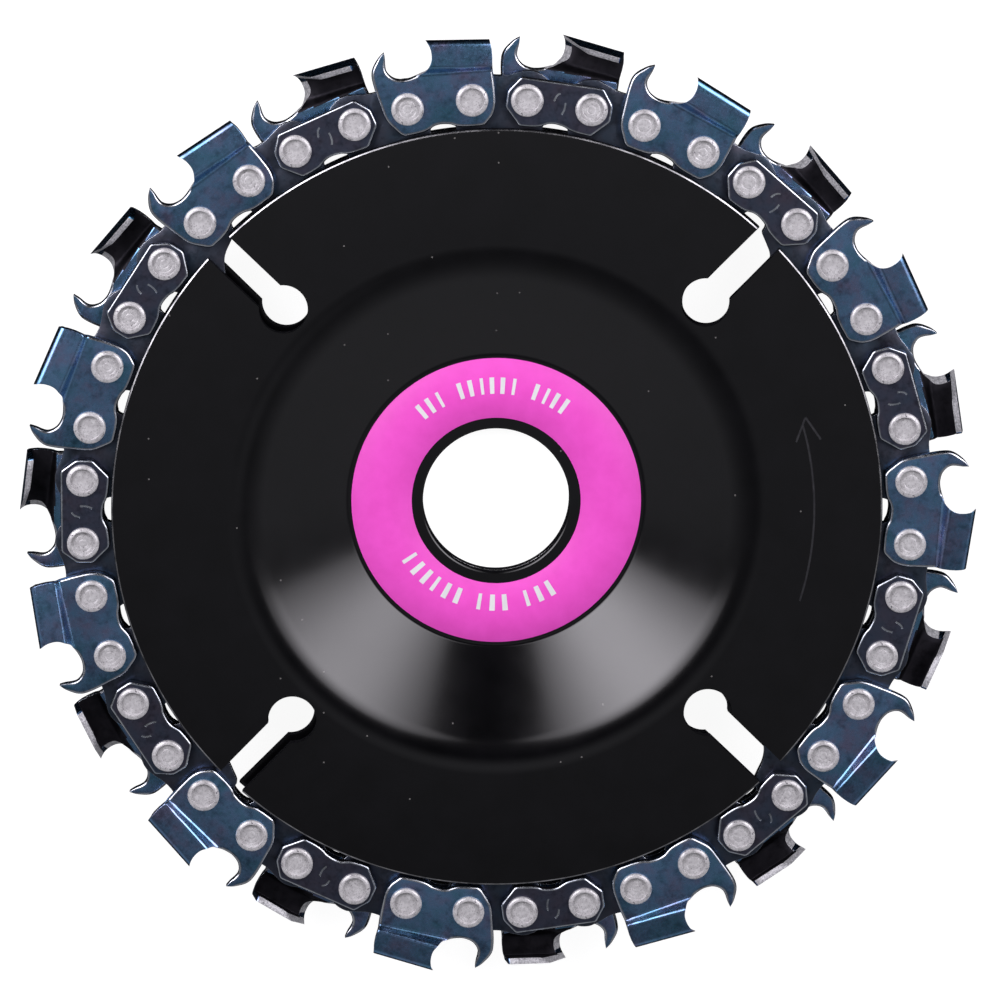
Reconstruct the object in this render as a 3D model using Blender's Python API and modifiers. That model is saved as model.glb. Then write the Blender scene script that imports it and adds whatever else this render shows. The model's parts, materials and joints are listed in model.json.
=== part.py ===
"""Chain carving disc for an angle grinder, 4 inch class.

Two dished steel plates hold a loop of 1/4 inch pitch saw chain between their rims.
Frame: +Z up out of the label side, origin at the bore's centre on the rear hub face.
The chain cuts counter-clockwise, seen from +Z. A link's outline is written as (along, out):
along points the way the chain cuts, out points away from the disc's centre. In the link's
own axes, out is +y and along is -x.
"""

import math

import bmesh
import bpy
from mathutils import Matrix

MM = 0.001

# Plates
BORE_RADIUS = 7.9375 * MM
RIM_RADIUS = 41.35 * MM
PLATE_THICKNESS = 1.25 * MM
PLATE_STEPS = 60
FRONT_HUB_Z = 1.35 * MM
FRONT_DISH = 6.5 * MM
FRONT_CONE_INNER = 16.5 * MM
FRONT_CONE_OUTER = 27.2 * MM
REAR_HUB_Z = 0.0
REAR_DISH = 5.1 * MM
REAR_CONE_INNER = 17.15 * MM
REAR_CONE_OUTER = 27.3 * MM
INNER_FILLET = 0.8 * MM
OUTER_FILLET = 6.5 * MM
INNER_FILLET_STEPS = 1
OUTER_FILLET_STEPS = 2

# Keyhole slots, open to the rim
KEYHOLE_COUNT = 4
KEYHOLE_FIRST_DEG = 46.0
REAR_PLATE_TWIST_DEG = -0.7
KEYHOLE_EYE_CENTRE = 31.75 * MM
KEYHOLE_EYE_RADIUS = 2.6 * MM
KEYHOLE_SLOT_WIDTH = 3.3 * MM
KEYHOLE_EYE_STEPS = 10

# Label on the front hub
LABEL_INNER = 9.15 * MM
LABEL_OUTER = 15.7 * MM
LABEL_THICKNESS = 0.1 * MM
LABEL_GAP = 0.05 * MM

# Chain
CUTTER_COUNT = 22
CHAIN_PHASE_DEG = -0.08
CHAIN_MID_Z = 7.1 * MM
RIVET_CIRCLE = 44.5 * MM
CUTTER_SPAN = 6.87 * MM
DRIVE_THICKNESS = 1.27 * MM
SIDE_THICKNESS = 1.05 * MM
SIDE_PLAY = 0.1 * MM
RIVET_RADIUS = 1.3 * MM
RIVET_HOLE_RADIUS = 1.6 * MM
RIVET_HEAD_RADIUS = 1.75 * MM
RIVET_HEAD_RISE = 0.26 * MM
RIVET_STEPS = 8
EAR_STEPS = 4

# Side plates of the chain, from the rivets' line: heels, then the tooth's crease and fold
HEEL_OUT = -2.85 * MM
SCALLOP_OUT = -1.98 * MM
STRAP_BACK_OUT = 2.4 * MM
CREASE_OUT = 3.3 * MM
TOOTH_TOP_OUT = 7.01 * MM
TOOTH_SET = 1.1 * MM
TOOTH_SET_RUN = 1.0 * MM
TOOTH_SIDE_TAPER = 0.06
FOLD_INNER_RADIUS = 0.2 * MM
FOLD_STEPS = 2
TOP_PLATE_LENGTH = 2.65 * MM
TOP_PLATE_SWEEP_DEG = 30.0
TOP_PLATE_FALL = 0.132
TOP_PLATE_PITCH = 0.15
TOOTH_TIP_ALONG = 0.6 * MM
TOOTH_REAR_ALONG = -6.12 * MM
HOOK_START_ALONG = 2.0 * MM

# Drive links
EAR_RADIUS = 3.0 * MM
DRIVE_BACK_OUT = 2.45 * MM
TANG_SHOULDER_OUT = -4.2 * MM
TANG_TIP_OUT = -6.45 * MM

STEP_DEG = 360.0 / CUTTER_COUNT
SIDE_INNER_Z = DRIVE_THICKNESS / 2 + SIDE_PLAY
SIDE_OUTER_Z = SIDE_INNER_Z + SIDE_THICKNESS
CUTTER_HALF_ANGLE = math.asin(CUTTER_SPAN / 2 / RIVET_CIRCLE)
DRIVE_HALF_ANGLE = math.radians(STEP_DEG / 2) - CUTTER_HALF_ANGLE
DRIVE_SPAN = 2 * RIVET_CIRCLE * math.sin(DRIVE_HALF_ANGLE)
FOLD_OUT = TOOTH_TOP_OUT - SIDE_THICKNESS - FOLD_INNER_RADIUS
FOLD_LENGTH = math.radians(90) * (FOLD_INNER_RADIUS + SIDE_THICKNESS / 2)


def clear_scene():
    for obj in list(bpy.data.objects):
        bpy.data.objects.remove(obj, do_unlink=True)


def new_collection(name):
    collection = bpy.data.collections.new(name)
    bpy.context.scene.collection.children.link(collection)
    return collection


def new_material(name, colour, roughness, metallic):
    material = bpy.data.materials.new(name)
    material.use_nodes = True
    shader = material.node_tree.nodes["Principled BSDF"]
    shader.inputs["Base Color"].default_value = (*colour, 1.0)
    shader.inputs["Roughness"].default_value = roughness
    shader.inputs["Metallic"].default_value = metallic
    material.diffuse_color = (*colour, 1.0)
    return material


def new_object(name, data, collection):
    obj = bpy.data.objects.new(name, data)
    collection.objects.link(obj)
    return obj


def new_empty(name, collection, location=(0.0, 0.0, 0.0)):
    obj = new_object(name, None, collection)
    obj.location = location
    return obj


def arc(centre, radius, start_deg, end_deg, steps):
    """Points along an arc, both ends included."""
    points = []
    for i in range(steps + 1):
        angle = math.radians(start_deg + (end_deg - start_deg) * i / steps)
        points.append(
            (centre[0] + radius * math.cos(angle), centre[1] + radius * math.sin(angle))
        )
    return points


def prism(name, outline, thickness, collection):
    """A flat closed outline made into a solid plate, centred on z = 0, as a mesh."""
    curve = bpy.data.curves.new(name, "CURVE")
    curve.dimensions = "2D"
    curve.fill_mode = "BOTH"
    curve.extrude = thickness / 2
    spline = curve.splines.new("POLY")
    spline.points.add(len(outline) - 1)
    for point, (x, y) in zip(spline.points, outline):
        point.co = (x, y, 0.0, 1.0)
    spline.use_cyclic_u = True
    guide = new_object(name + "_outline", curve, collection)
    bpy.context.view_layer.update()
    evaluated = guide.evaluated_get(bpy.context.evaluated_depsgraph_get())
    mesh = bpy.data.meshes.new_from_object(evaluated)
    bpy.data.objects.remove(guide, do_unlink=True)
    mesh.name = name
    bm = bmesh.new()
    bm.from_mesh(mesh)
    bmesh.ops.remove_doubles(bm, verts=bm.verts, dist=0.001 * MM)
    bmesh.ops.dissolve_limit(
        bm, angle_limit=math.radians(0.5), verts=bm.verts, edges=bm.edges
    )
    bmesh.ops.recalc_face_normals(bm, faces=bm.faces)
    bm.to_mesh(mesh)
    bm.free()
    return mesh


def turned(name, profile, steps, collection, closed=False):
    """An object whose profile of (radius, z) points is turned about Z by a Screw modifier."""
    mesh = bpy.data.meshes.new(name)
    count = len(profile)
    edges = [(i, i + 1) for i in range(count - 1)]
    if closed:
        edges.append((count - 1, 0))
    mesh.from_pydata([(r, 0.0, z) for r, z in profile], edges, [])
    obj = new_object(name, mesh, collection)
    screw = obj.modifiers.new("Turn", "SCREW")
    screw.axis = "Z"
    screw.steps = steps
    screw.render_steps = steps
    screw.use_merge_vertices = True
    screw.merge_threshold = 0.001 * MM
    return obj


def make_cutter(obj, collection):
    for other in list(obj.users_collection):
        other.objects.unlink(obj)
    collection.objects.link(obj)
    obj.hide_render = True
    obj.display_type = "WIRE"


def add_boolean(obj, other, operation):
    modifier = obj.modifiers.new(operation.title() + " " + other.name, "BOOLEAN")
    modifier.operation = operation
    modifier.solver = "EXACT"
    modifier.object = other


def applied_mesh(obj):
    """The object's evaluated mesh as a new mesh; the object is removed."""
    bpy.context.view_layer.update()
    evaluated = obj.evaluated_get(bpy.context.evaluated_depsgraph_get())
    mesh = bpy.data.meshes.new_from_object(evaluated)
    mesh.name = obj.name
    bpy.data.objects.remove(obj, do_unlink=True)
    return mesh


def shade_round(mesh, angle_deg=35.0):
    mesh.shade_smooth()
    mesh.set_sharp_from_angle(angle=math.radians(angle_deg))


def finish_turned(obj, parts, material):
    """Replaces a turned object by its finished mesh, shaded round, under the same name."""
    name = obj.name
    mesh = applied_mesh(obj)
    mesh.materials.clear()
    mesh.materials.append(material)
    shade_round(mesh)
    new_object(name, mesh, parts)


def filleted(points, radii, steps):
    """A profile whose inner corners are rounded by arcs of the given radii."""
    result = [points[0]]
    for before, corner, after, radius, count in zip(
        points, points[1:], points[2:], radii, steps
    ):
        to_before = math.atan2(before[1] - corner[1], before[0] - corner[0])
        to_after = math.atan2(after[1] - corner[1], after[0] - corner[0])
        half = (to_before - to_after) % math.tau / 2
        bisector = to_after + half
        reach = radius / abs(math.sin(half))
        side = 1 if half < math.pi / 2 else -1
        centre = (
            corner[0] + side * reach * math.cos(bisector),
            corner[1] + side * reach * math.sin(bisector),
        )
        run = radius / abs(math.tan(half))
        start = (
            corner[0] + run * math.cos(to_before) - centre[0],
            corner[1] + run * math.sin(to_before) - centre[1],
        )
        end = (
            corner[0] + run * math.cos(to_after) - centre[0],
            corner[1] + run * math.sin(to_after) - centre[1],
        )
        first = math.atan2(start[1], start[0])
        turn = (math.atan2(end[1], end[0]) - first + math.pi) % math.tau - math.pi
        result += arc(
            centre, radius, math.degrees(first), math.degrees(first + turn), count
        )
    result.append(points[-1])
    return result


def keyhole_cutter(name, first_deg, collection):
    """Four keyhole-shaped prisms: an eye with a slot that runs out past the rim."""
    half_width = KEYHOLE_SLOT_WIDTH / 2
    neck_deg = math.degrees(math.asin(half_width / KEYHOLE_EYE_RADIUS))
    outline = arc(
        (KEYHOLE_EYE_CENTRE, 0.0),
        KEYHOLE_EYE_RADIUS,
        neck_deg,
        360.0 - neck_deg,
        KEYHOLE_EYE_STEPS,
    )
    beyond = RIM_RADIUS + 3 * MM
    outline += [(beyond, -half_width), (beyond, half_width)]
    mesh = prism(name, outline, 30 * MM, collection)
    bm = bmesh.new()
    for i in range(KEYHOLE_COUNT):
        turn = math.radians(first_deg + i * 360.0 / KEYHOLE_COUNT)
        before = len(bm.verts)
        bm.from_mesh(mesh)
        bm.verts.ensure_lookup_table()
        bmesh.ops.rotate(
            bm,
            verts=bm.verts[before:],
            cent=(0.0, 0.0, 0.0),
            matrix=Matrix.Rotation(turn, 3, "Z"),
        )
    bm.to_mesh(mesh)
    bm.free()
    obj = new_object(name, mesh, collection)
    make_cutter(obj, collection)
    return obj


def plate(name, hub_z, dish, cone_inner, cone_outer, first_deg, parts, cutters, material):
    """A dished plate: flat hub, cone, flat flange, four keyholes. Its lower side is at hub_z."""
    corners = [
        (BORE_RADIUS, hub_z),
        (cone_inner, hub_z),
        (cone_outer, hub_z + dish),
        (RIM_RADIUS, hub_z + dish),
    ]
    lower = filleted(
        corners,
        (INNER_FILLET + PLATE_THICKNESS, OUTER_FILLET),
        (INNER_FILLET_STEPS, OUTER_FILLET_STEPS),
    )
    obj = turned(name, lower, PLATE_STEPS, parts)
    shell = obj.modifiers.new("Sheet thickness", "SOLIDIFY")
    shell.thickness = PLATE_THICKNESS
    shell.offset = 1.0
    shell.use_even_offset = True
    add_boolean(obj, keyhole_cutter(name + "_keyholes", first_deg, cutters), "DIFFERENCE")
    finish_turned(obj, parts, material)


def label_ring(parts, material):
    low = FRONT_HUB_Z + PLATE_THICKNESS + LABEL_GAP
    high = low + LABEL_THICKNESS
    profile = [
        (LABEL_OUTER, high),
        (LABEL_OUTER, low),
        (LABEL_INNER, low),
        (LABEL_INNER, high),
    ]
    obj = turned("label_ring", profile, PLATE_STEPS, parts, closed=True)
    finish_turned(obj, parts, material)


def rivet(name, collection, x):
    """A rivet with a head on each side of the link, through both side plates."""
    head_low = SIDE_OUTER_Z - 0.2 * MM
    head_top = SIDE_OUTER_Z + RIVET_HEAD_RISE
    profile = [
        (0.0, head_top),
        (RIVET_HEAD_RADIUS, head_top),
        (RIVET_HEAD_RADIUS, head_low),
        (RIVET_RADIUS, head_low),
        (RIVET_RADIUS, -head_low),
        (RIVET_HEAD_RADIUS, -head_low),
        (RIVET_HEAD_RADIUS, -head_top),
        (0.0, -head_top),
    ]
    obj = turned(name, profile, RIVET_STEPS, collection)
    obj.location = (x, 0.0, 0.0)
    make_cutter(obj, collection)
    return obj


def lower_edge(trailing, leading):
    """The heels and the scallop between them, from the trailing heel to the leading one."""
    return [
        (trailing, HEEL_OUT),
        (-1.8 * MM, HEEL_OUT + 0.2 * MM),
        (-0.7 * MM, SCALLOP_OUT),
        (0.7 * MM, SCALLOP_OUT),
        (1.8 * MM, HEEL_OUT + 0.2 * MM),
        (leading, HEEL_OUT),
    ]


def strap_outline():
    end = 5.65 * MM
    ends = [(end, -1.05 * MM), (end, 0.75 * MM), (4.45 * MM, STRAP_BACK_OUT)]
    far_ends = [(-along, out) for along, out in reversed(ends)]
    return lower_edge(-3.85 * MM, 3.85 * MM) + ends + far_ends


def cutter_outline():
    """The cutter's flat blank: out is measured along the sheet, over the fold to the top plate."""
    fold_end = FOLD_OUT + FOLD_LENGTH
    top_end = fold_end + TOP_PLATE_LENGTH
    sweep = TOP_PLATE_LENGTH * math.tan(math.radians(TOP_PLATE_SWEEP_DEG))
    hook = [
        (5.68 * MM, -1.2 * MM),
        (6.16 * MM, 0.3 * MM),
        (6.65 * MM, 2.9 * MM),
        (6.69 * MM, 4.0 * MM),
        (6.2 * MM, 5.05 * MM),
        (5.1 * MM, 6.1 * MM),
    ]
    gullet = [
        (5.22 * MM, 4.4 * MM),
        (4.8 * MM, 3.6 * MM),
        (4.0 * MM, 3.15 * MM),
        (2.8 * MM, 3.1 * MM),
        (1.3 * MM, 3.55 * MM),
        (0.5 * MM, 4.3 * MM),
        (0.15 * MM, 5.2 * MM),
        (0.2 * MM, FOLD_OUT),
    ]
    tooth = [
        (TOOTH_TIP_ALONG, fold_end),
        (TOOTH_TIP_ALONG - sweep, top_end),
        (TOOTH_REAR_ALONG + 0.4 * MM, top_end),
        (TOOTH_REAR_ALONG, fold_end),
        (TOOTH_REAR_ALONG, CREASE_OUT),
        (-6.03 * MM, 1.0 * MM),
        (-5.75 * MM, -1.2 * MM),
        (-5.1 * MM, -2.25 * MM),
    ]
    return lower_edge(-4.4 * MM, 4.2 * MM) + hook + gullet + tooth


def drive_outline():
    """Two ears round the rivets, a back that dips between them, and a tang that leans back."""
    half = DRIVE_SPAN / 2
    leading_ear = arc((half, 0.0), EAR_RADIUS, 90.0, -25.0, EAR_STEPS)
    trailing_ear = arc((-half, 0.0), EAR_RADIUS, 205.0, 90.0, EAR_STEPS)
    back = [(-0.9 * MM, DRIVE_BACK_OUT), (0.9 * MM, DRIVE_BACK_OUT)]
    tang = [
        (4.65 * MM, -2.95 * MM),
        (4.4 * MM, -3.4 * MM),
        (1.7 * MM, TANG_SHOULDER_OUT),
        (1.3 * MM, TANG_TIP_OUT),
        (0.4 * MM, TANG_TIP_OUT),
        (-1.8 * MM, TANG_SHOULDER_OUT),
        (-4.4 * MM, -3.4 * MM),
        (-4.65 * MM, -2.95 * MM),
    ]
    return leading_ear + tang + trailing_ear + back


def link_plate(name, outline, thickness, collection):
    """A flat plate of the chain in the link's own axes, from an outline of (along, out) points."""
    return prism(name, [(-along, out) for along, out in outline], thickness, collection)


def bent(along, out, w):
    """Where a point of the cutter's blank goes: w is its height in the sheet's thickness."""
    if along >= HOOK_START_ALONG or out <= CREASE_OUT:
        return (-along, out, SIDE_INNER_Z + w)
    behind_tip = TOOTH_TIP_ALONG - along
    set_out = TOOTH_SET - TOOTH_SIDE_TAPER * behind_tip
    set_out *= min(1.0, (out - CREASE_OUT) / TOOTH_SET_RUN)
    fall = TOP_PLATE_FALL * behind_tip
    fall *= min(1.0, (out - CREASE_OUT) / (FOLD_OUT - CREASE_OUT))
    if out <= FOLD_OUT:
        return (-along, out - fall, SIDE_INNER_Z + set_out + w)
    turn = min(1.0, (out - FOLD_OUT) / FOLD_LENGTH) * math.radians(90)
    reach = FOLD_INNER_RADIUS + w
    centre_z = SIDE_INNER_Z + set_out - FOLD_INNER_RADIUS
    across = max(0.0, out - FOLD_OUT - FOLD_LENGTH)
    return (
        -along,
        FOLD_OUT - fall + reach * math.sin(turn) - across * TOP_PLATE_PITCH,
        centre_z + reach * math.cos(turn) - across,
    )


def cutter_plate(collection):
    """The left-hand cutter: its side plate above the chain, its top plate folded across."""
    mesh = link_plate("cutter_plate", cutter_outline(), SIDE_THICKNESS, collection)
    creases = [CREASE_OUT, CREASE_OUT + TOOTH_SET_RUN]
    creases += [FOLD_OUT + FOLD_LENGTH * i / FOLD_STEPS for i in range(FOLD_STEPS + 1)]
    bm = bmesh.new()
    bm.from_mesh(mesh)
    for crease in creases:
        bmesh.ops.bisect_plane(
            bm,
            geom=bm.verts[:] + bm.edges[:] + bm.faces[:],
            dist=0.001 * MM,
            plane_co=(0.0, crease, 0.0),
            plane_no=(0.0, 1.0, 0.0),
        )
    for vert in bm.verts:
        vert.co = bent(-vert.co.x, vert.co.y, vert.co.z + SIDE_THICKNESS / 2)
    bmesh.ops.triangulate(bm, faces=bm.faces)
    bm.to_mesh(mesh)
    bm.free()
    return mesh


def link_mesh(cutters):
    """A left-hand cutter, its tie strap and two rivets, which are riveted up as one rigid link.

    The mesh's origin is on the trailing rivet's axis, at the chain's middle plane.
    """
    obj = new_object("left_cutter_link", cutter_plate(cutters), cutters)
    strap_mesh = link_plate("tie_strap", strap_outline(), SIDE_THICKNESS, cutters)
    strap = new_object("tie_strap", strap_mesh, cutters)
    strap.location.z = -(SIDE_INNER_Z + SIDE_OUTER_Z) / 2
    make_cutter(strap, cutters)
    add_boolean(obj, rivet("trailing_rivet", cutters, CUTTER_SPAN / 2), "UNION")
    add_boolean(obj, rivet("leading_rivet", cutters, -CUTTER_SPAN / 2), "UNION")
    add_boolean(obj, strap, "UNION")
    mesh = applied_mesh(obj)
    mesh.transform(Matrix.Translation((-CUTTER_SPAN / 2, 0.0, 0.0)))
    return mesh


def mirrored_mesh(mesh, name):
    """The right-hand copy, mirrored in the chain's middle plane."""
    other = mesh.copy()
    other.name = name
    other.transform(Matrix.Scale(-1.0, 4, (0.0, 0.0, 1.0)))
    other.flip_normals()
    return other


def drive_link_mesh(cutters):
    """A drive link: its blank with a hole for each of the two rivets that it turns on."""
    mesh = link_plate("drive_link", drive_outline(), DRIVE_THICKNESS, cutters)
    obj = new_object("drive_link_blank", mesh, cutters)
    drill_profile = [
        (0.0, DRIVE_THICKNESS),
        (RIVET_HOLE_RADIUS, DRIVE_THICKNESS),
        (RIVET_HOLE_RADIUS, -DRIVE_THICKNESS),
        (0.0, -DRIVE_THICKNESS),
    ]
    for side in (-1, 1):
        drill = turned("rivet_drill", drill_profile, RIVET_STEPS, cutters)
        drill.location.x = side * DRIVE_SPAN / 2
        make_cutter(drill, cutters)
        add_boolean(obj, drill, "DIFFERENCE")
    return applied_mesh(obj)


def on_circle(radius, angle, z):
    return (radius * math.cos(angle), radius * math.sin(angle), z)


def place_link(name, mesh, position, angle, parent, parts):
    """Puts a link down at a position, its +y pointing outwards at the given angle."""
    obj = new_object(name, mesh, parts)
    obj.location = position
    obj.rotation_euler.z = angle - math.radians(90)
    obj.parent = parent


def chain(parts, cutters, cutter_steel, drive_steel):
    """Cutter links, alternately left and right, riveted through the drive links between them."""
    axis = new_empty("chain_axis", parts, (0.0, 0.0, CHAIN_MID_Z))
    left_mesh = link_mesh(cutters)
    right_mesh = mirrored_mesh(left_mesh, "right_cutter_link")
    drive_mesh = drive_link_mesh(cutters)
    for mesh, material in (
        (left_mesh, cutter_steel),
        (right_mesh, cutter_steel),
        (drive_mesh, drive_steel),
    ):
        mesh.materials.clear()
        mesh.materials.append(material)
        shade_round(mesh)
    drive_radius = RIVET_CIRCLE * math.cos(DRIVE_HALF_ANGLE)
    for i in range(CUTTER_COUNT):
        angle = math.radians(CHAIN_PHASE_DEG + i * STEP_DEG)
        hand, mesh = ("right", right_mesh) if i % 2 else ("left", left_mesh)
        trailing_rivet = on_circle(RIVET_CIRCLE, angle - CUTTER_HALF_ANGLE, 0.0)
        name = f"{hand}_cutter_link_{i + 1:02d}"
        place_link(name, mesh, trailing_rivet, angle, axis, parts)
        between = angle + math.radians(STEP_DEG / 2)
        middle = on_circle(drive_radius, between, 0.0)
        place_link(f"drive_link_{i + 1:02d}", drive_mesh, middle, between, axis, parts)


def build():
    clear_scene()
    parts = new_collection("chain_carving_disc")
    cutters = new_collection("cutters")
    black = new_material("black_plate", (0.012, 0.012, 0.014), 0.35, 0.6)
    magenta = new_material("label_foil", (0.95, 0.08, 0.66), 0.45, 0.0)
    cutter_steel = new_material("blued_cutter_steel", (0.03, 0.06, 0.1), 0.35, 0.9)
    drive_steel = new_material("blued_drive_steel", (0.02, 0.04, 0.06), 0.4, 0.9)
    plate(
        "front_plate",
        FRONT_HUB_Z,
        FRONT_DISH,
        FRONT_CONE_INNER,
        FRONT_CONE_OUTER,
        KEYHOLE_FIRST_DEG,
        parts,
        cutters,
        black,
    )
    plate(
        "rear_plate",
        REAR_HUB_Z,
        REAR_DISH,
        REAR_CONE_INNER,
        REAR_CONE_OUTER,
        KEYHOLE_FIRST_DEG + REAR_PLATE_TWIST_DEG,
        parts,
        cutters,
        black,
    )
    label_ring(parts, magenta)
    chain(parts, cutters, cutter_steel, drive_steel)


build()
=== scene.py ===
"""Chain carving disc for an angle grinder: the fine surfaces, materials, light and camera.

Lengths are in metres. A link's outline is written as (along, out): along points the way the
chain cuts, out points away from the disc's centre, and both start at the middle of the link.
"""

import json
import math
import random

import bmesh
import bpy
from mathutils import Matrix, Quaternion, Vector


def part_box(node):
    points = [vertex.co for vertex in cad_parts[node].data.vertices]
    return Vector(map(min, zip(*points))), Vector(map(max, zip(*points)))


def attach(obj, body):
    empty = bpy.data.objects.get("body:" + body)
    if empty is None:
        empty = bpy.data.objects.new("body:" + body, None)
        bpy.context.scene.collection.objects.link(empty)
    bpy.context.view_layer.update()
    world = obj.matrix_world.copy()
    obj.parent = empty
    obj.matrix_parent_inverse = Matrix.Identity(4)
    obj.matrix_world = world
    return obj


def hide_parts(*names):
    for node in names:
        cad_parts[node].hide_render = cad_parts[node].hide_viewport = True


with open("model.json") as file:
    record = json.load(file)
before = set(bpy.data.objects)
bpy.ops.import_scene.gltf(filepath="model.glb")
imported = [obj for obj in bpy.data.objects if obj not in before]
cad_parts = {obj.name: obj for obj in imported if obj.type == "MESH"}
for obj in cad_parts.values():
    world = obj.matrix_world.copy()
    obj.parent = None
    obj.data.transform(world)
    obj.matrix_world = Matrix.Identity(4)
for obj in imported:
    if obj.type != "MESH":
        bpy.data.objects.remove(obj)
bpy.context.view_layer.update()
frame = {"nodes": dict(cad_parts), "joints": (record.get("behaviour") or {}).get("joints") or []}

MM = 0.001
SEED = 7

# Read from the frame
FRONT_LOW, FRONT_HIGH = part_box("front_plate")
REAR_LOW, REAR_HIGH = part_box("rear_plate")
LABEL_LOW, LABEL_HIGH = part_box("label_ring")
JOINTS = {joint["name"]: joint for joint in frame["joints"]}
CHAIN_MID_Z = JOINTS["chain_slip"]["pos_m"][2]
LINKS = sorted(n for n in frame["nodes"] if "cutter_link" in n)
LINKS.sort(key=lambda n: n[-2:])
CUTTER_COUNT = len(LINKS)
RIM_RADIUS = FRONT_HIGH[0]

# Plates
BORE_RADIUS = 7.9375 * MM
PLATE_THICKNESS = 1.25 * MM
PLATE_STEPS = 240
FRONT_CONE = (16.5 * MM, 27.2 * MM)
REAR_CONE = (17.15 * MM, 27.3 * MM)
INNER_FILLET = 0.8 * MM
OUTER_FILLET = 6.5 * MM
KEYHOLE_FIRST_DEG = 46.0
REAR_PLATE_TWIST_DEG = -0.7
KEYHOLE_EYE_CENTRE = 31.75 * MM
KEYHOLE_EYE_RADIUS = 2.6 * MM
KEYHOLE_SLOT_WIDTH = 3.3 * MM
KEYHOLE_COUNT = 4
FILLET_STEPS = 14
# How far a worn edge's two points lie in from the rim, and down from the face
WORN_RUN = (0.05 * MM, 0.18 * MM)
WORN_FALL = (0.16 * MM, 0.06 * MM)
LABEL_INNER_RADIUS = 9.15 * MM
LABEL_GAP = 0.01 * MM
# Each row of printed bars: its inner radius, first bar, pitch in degrees, and bars in each group
LABEL_MARKS = (
    (10.4 * MM, -147.0, 6.8, (6, 3, 3)),
    (11.8 * MM, 54.0, 5.2, (4, 6, 3)),
)
LABEL_MARK_HEIGHT = 1.8 * MM
LABEL_MARK_GAP_DEG = 6.0
ARROW_RADIUS = 34.0 * MM
ARROW_INNER_LIMIT = 31.0 * MM
ARROW_BARBS = ((32.85 * MM, 13.55), (35.5 * MM, 13.05))
ARROW_WIDTH = 0.25 * MM
ARROW_DEPTH = 0.08 * MM

# Chain
RIVET_CIRCLE = 44.5 * MM
CUTTER_SPAN = 6.87 * MM
DRIVE_THICKNESS = 1.27 * MM
SIDE_THICKNESS = 1.05 * MM
SIDE_PLAY = 0.1 * MM
SIDE_INNER_Z = DRIVE_THICKNESS / 2 + SIDE_PLAY
SIDE_OUTER_Z = SIDE_INNER_Z + SIDE_THICKNESS
RIVET_RADIUS = 1.3 * MM
RIVET_HOLE_RADIUS = 1.6 * MM
RIVET_HEAD_RADIUS = 1.72 * MM
RIVET_HEAD_RISE = 0.54 * MM
STEP = math.tau / CUTTER_COUNT
CUTTER_HALF_ANGLE = math.asin(CUTTER_SPAN / 2 / RIVET_CIRCLE)
DRIVE_HALF_ANGLE = STEP / 2 - CUTTER_HALF_ANGLE
DRIVE_SPAN = 2 * RIVET_CIRCLE * math.sin(DRIVE_HALF_ANGLE)

# Cutters
TOOTH_TOP_OUT = 7.01 * MM
TOOTH_SET = 1.05 * MM
TOOTH_SIDE_TAPER = 0.075
CREASE_START = (3.17 * MM, 0.063)
CREASE_END = (4.2 * MM, 0.13)
FOLD_RADIUS = 0.7 * MM
TOP_THICKNESS = 0.6 * MM
TOP_PLATE_LENGTH = 3.2 * MM
TOP_PLATE_END_BEVEL = 0.34 * MM
TOP_PLATE_SWEEP = math.tan(math.radians(30.0))
TOP_PLATE_FALL = 0.132
TOP_PLATE_PITCH = 0.12
TOOTH_TIP_ALONG = 0.6 * MM
TOOTH_REAR_ALONG = -6.12 * MM
TOOTH_FRONT_ALONG = 0.15 * MM
TOOTH_FRONT_OUT = 5.2 * MM
HOOK_START_ALONG = 2.0 * MM
HOOK_TIP = (5.08 * MM, 6.2 * MM)
GRIND_DEPTH = 0.7 * MM
GRIND_RUN = 1.2 * MM
GRIND_FACE = 0.12 * MM
FOLD_OUT = TOOTH_TOP_OUT - FOLD_RADIUS
FOLD_LENGTH = math.radians(90) * FOLD_RADIUS
FOLD_END = FOLD_OUT + FOLD_LENGTH
PRESSED_EDGE = 0.3 * MM
TOOTH_EDGE = 0.05 * MM

# Material slots: the plates' first, then the chain's sheet steel, whose last slot is painted shade
# for the teeth's inner faces
COATED, STAMPED_EDGE, ENGRAVED, WORN = range(4)
STEEL, EDGE, GROUND, PAINTED_SHADE = range(4)

# Studio
LAMP_DISTANCE = 0.5
LAMP_COLOUR = (1.0, 0.965, 1.03)
FLOOR_HALF_WIDTH = 3.0
FLOOR_Z = -0.0002
CAMERA_TILT_DEG = 11.581
CAMERA_ROLL_DEG = 1.186
CAMERA_OFFSET = (0.328 * MM, 1.327 * MM, 558.8 * MM)
CAMERA_AIM_Z = CHAIN_MID_Z + SIDE_OUTER_Z + 0.26 * MM

# ---------------------------------------------------------------- outlines


def arc(centre, radius, start_deg, end_deg, steps):
    """Points along an arc, both ends included."""
    points = []
    for i in range(steps + 1):
        angle = math.radians(start_deg + (end_deg - start_deg) * i / steps)
        points.append(
            (centre[0] + radius * math.cos(angle), centre[1] + radius * math.sin(angle))
        )
    return points


def polar(radius, deg):
    """The point at a radius and an angle in degrees."""
    angle = math.radians(deg)
    return (radius * math.cos(angle), radius * math.sin(angle))


def smooth_run(points, steps=5):
    """A smooth curve through the points (Catmull-Rom), with both end points kept."""
    padded = [points[0]] + list(points) + [points[-1]]
    result = [points[0]]
    for p0, p1, p2, p3 in zip(padded, padded[1:], padded[2:], padded[3:]):
        for i in range(1, steps + 1):
            t = i / steps
            result.append(
                tuple(
                    0.5
                    * (
                        2 * b
                        + (c - a) * t
                        + (2 * a - 5 * b + 4 * c - d) * t * t
                        + (3 * b - a - 3 * c + d) * t * t * t
                    )
                    for a, b, c, d in zip(p0, p1, p2, p3)
                )
            )
    return result


def in_mm(points):
    """Points written in millimetres, in metres."""
    return [(along * MM, out * MM) for along, out in points]


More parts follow.
